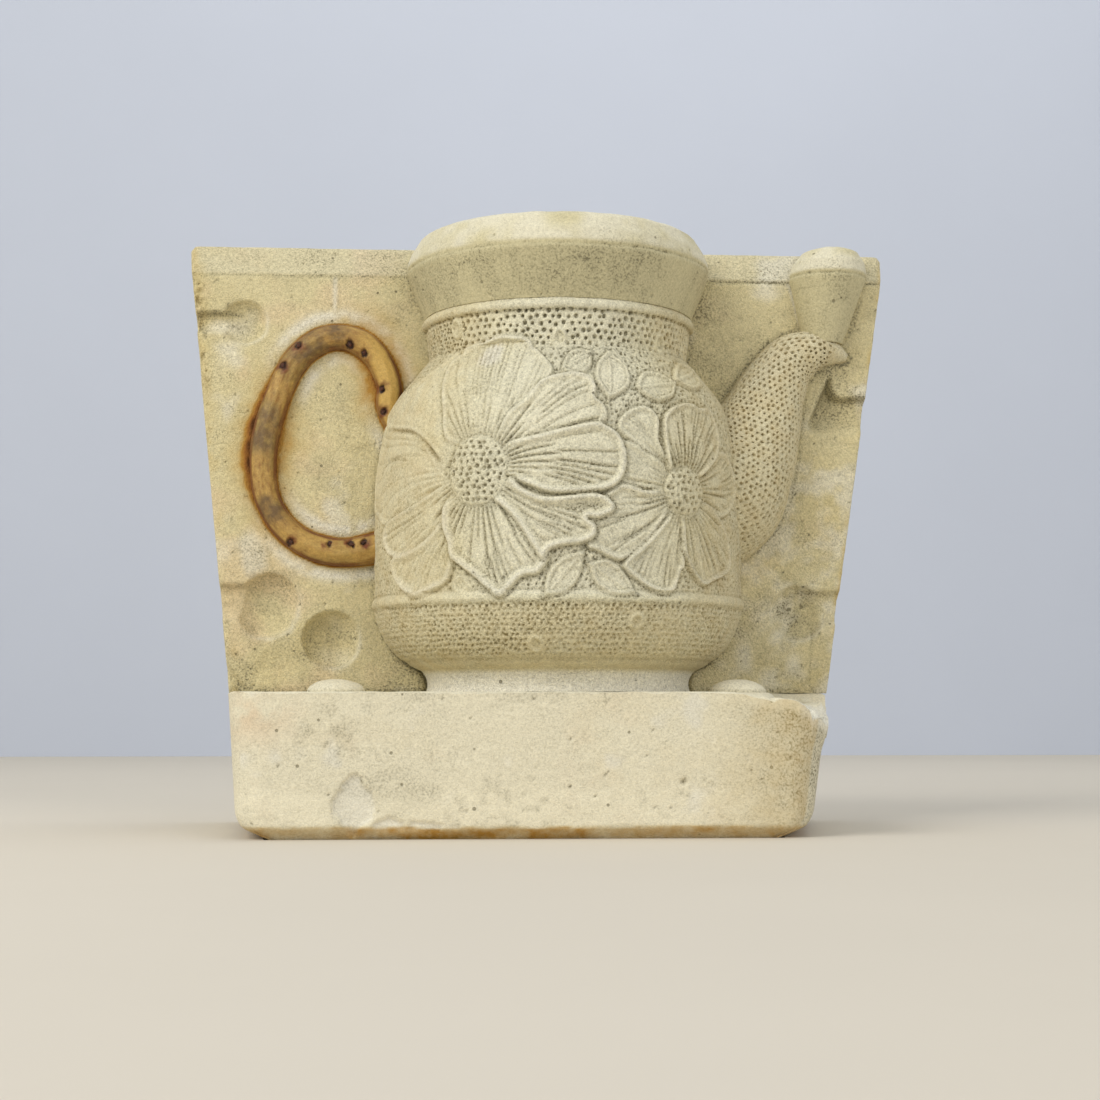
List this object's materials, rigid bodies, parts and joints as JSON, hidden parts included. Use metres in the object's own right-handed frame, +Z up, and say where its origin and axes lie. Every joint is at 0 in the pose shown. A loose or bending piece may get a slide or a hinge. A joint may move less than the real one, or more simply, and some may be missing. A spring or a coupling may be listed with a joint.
{
  "type": "plaster case mould",
  "caption": "Upright plaster case mould: a slab with a half teapot, spout, sprue, pouring spare and handle in relief, standing on a base block.",
  "frame": {"origin": "centre of the object's footprint box, on the surface it stands on", "axes": "-Y out of the slab's relief face towards the viewer, +X towards the spout, +Z up"},
  "size_m": [0.336, 0.144, 0.2784],
  "materials": {
    "plaster_base": "matte",
    "plaster_slab": "matte",
    "plaster_relief": "matte",
    "amber_handle": "satin",
    "rusty_iron": "matte",
    "dowel_wood": "matte"
  },
  "bodies": {
    "base": {"base_block": "plaster_base", "base_natch_left": "plaster_base", "base_natch_right": "plaster_base"},
    "side_case": {"back_slab": "plaster_slab", "slab_key_left": "plaster_slab", "slab_key_right": "plaster_slab", "half_teapot": "plaster_relief", "pouring_spare": "plaster_relief", "spout": "plaster_relief", "spout_sprue": "plaster_relief", "handle": "amber_handle", "handle_core_wire": "rusty_iron", "handle_pin_1": "rusty_iron", "handle_pin_2": "rusty_iron", "handle_pin_3": "rusty_iron", "handle_pin_4": "rusty_iron", "handle_pin_5": "rusty_iron", "handle_pin_6": "rusty_iron", "handle_pin_7": "rusty_iron", "handle_pin_8": "rusty_iron", "handle_pin_9": "rusty_iron", "handle_pin_10": "rusty_iron", "teapot_dowel_lower": "dowel_wood", "teapot_dowel_upper": "dowel_wood", "spare_dowel": "dowel_wood", "spout_dowel": "dowel_wood", "sprue_dowel": "dowel_wood"}
  },
  "joints": [
    {"name": "side_case_lift", "type": "slide", "parent": "base", "child": "side_case", "axis": [0, 0, 1], "range_m": [0, 0.08]}
  ]
}
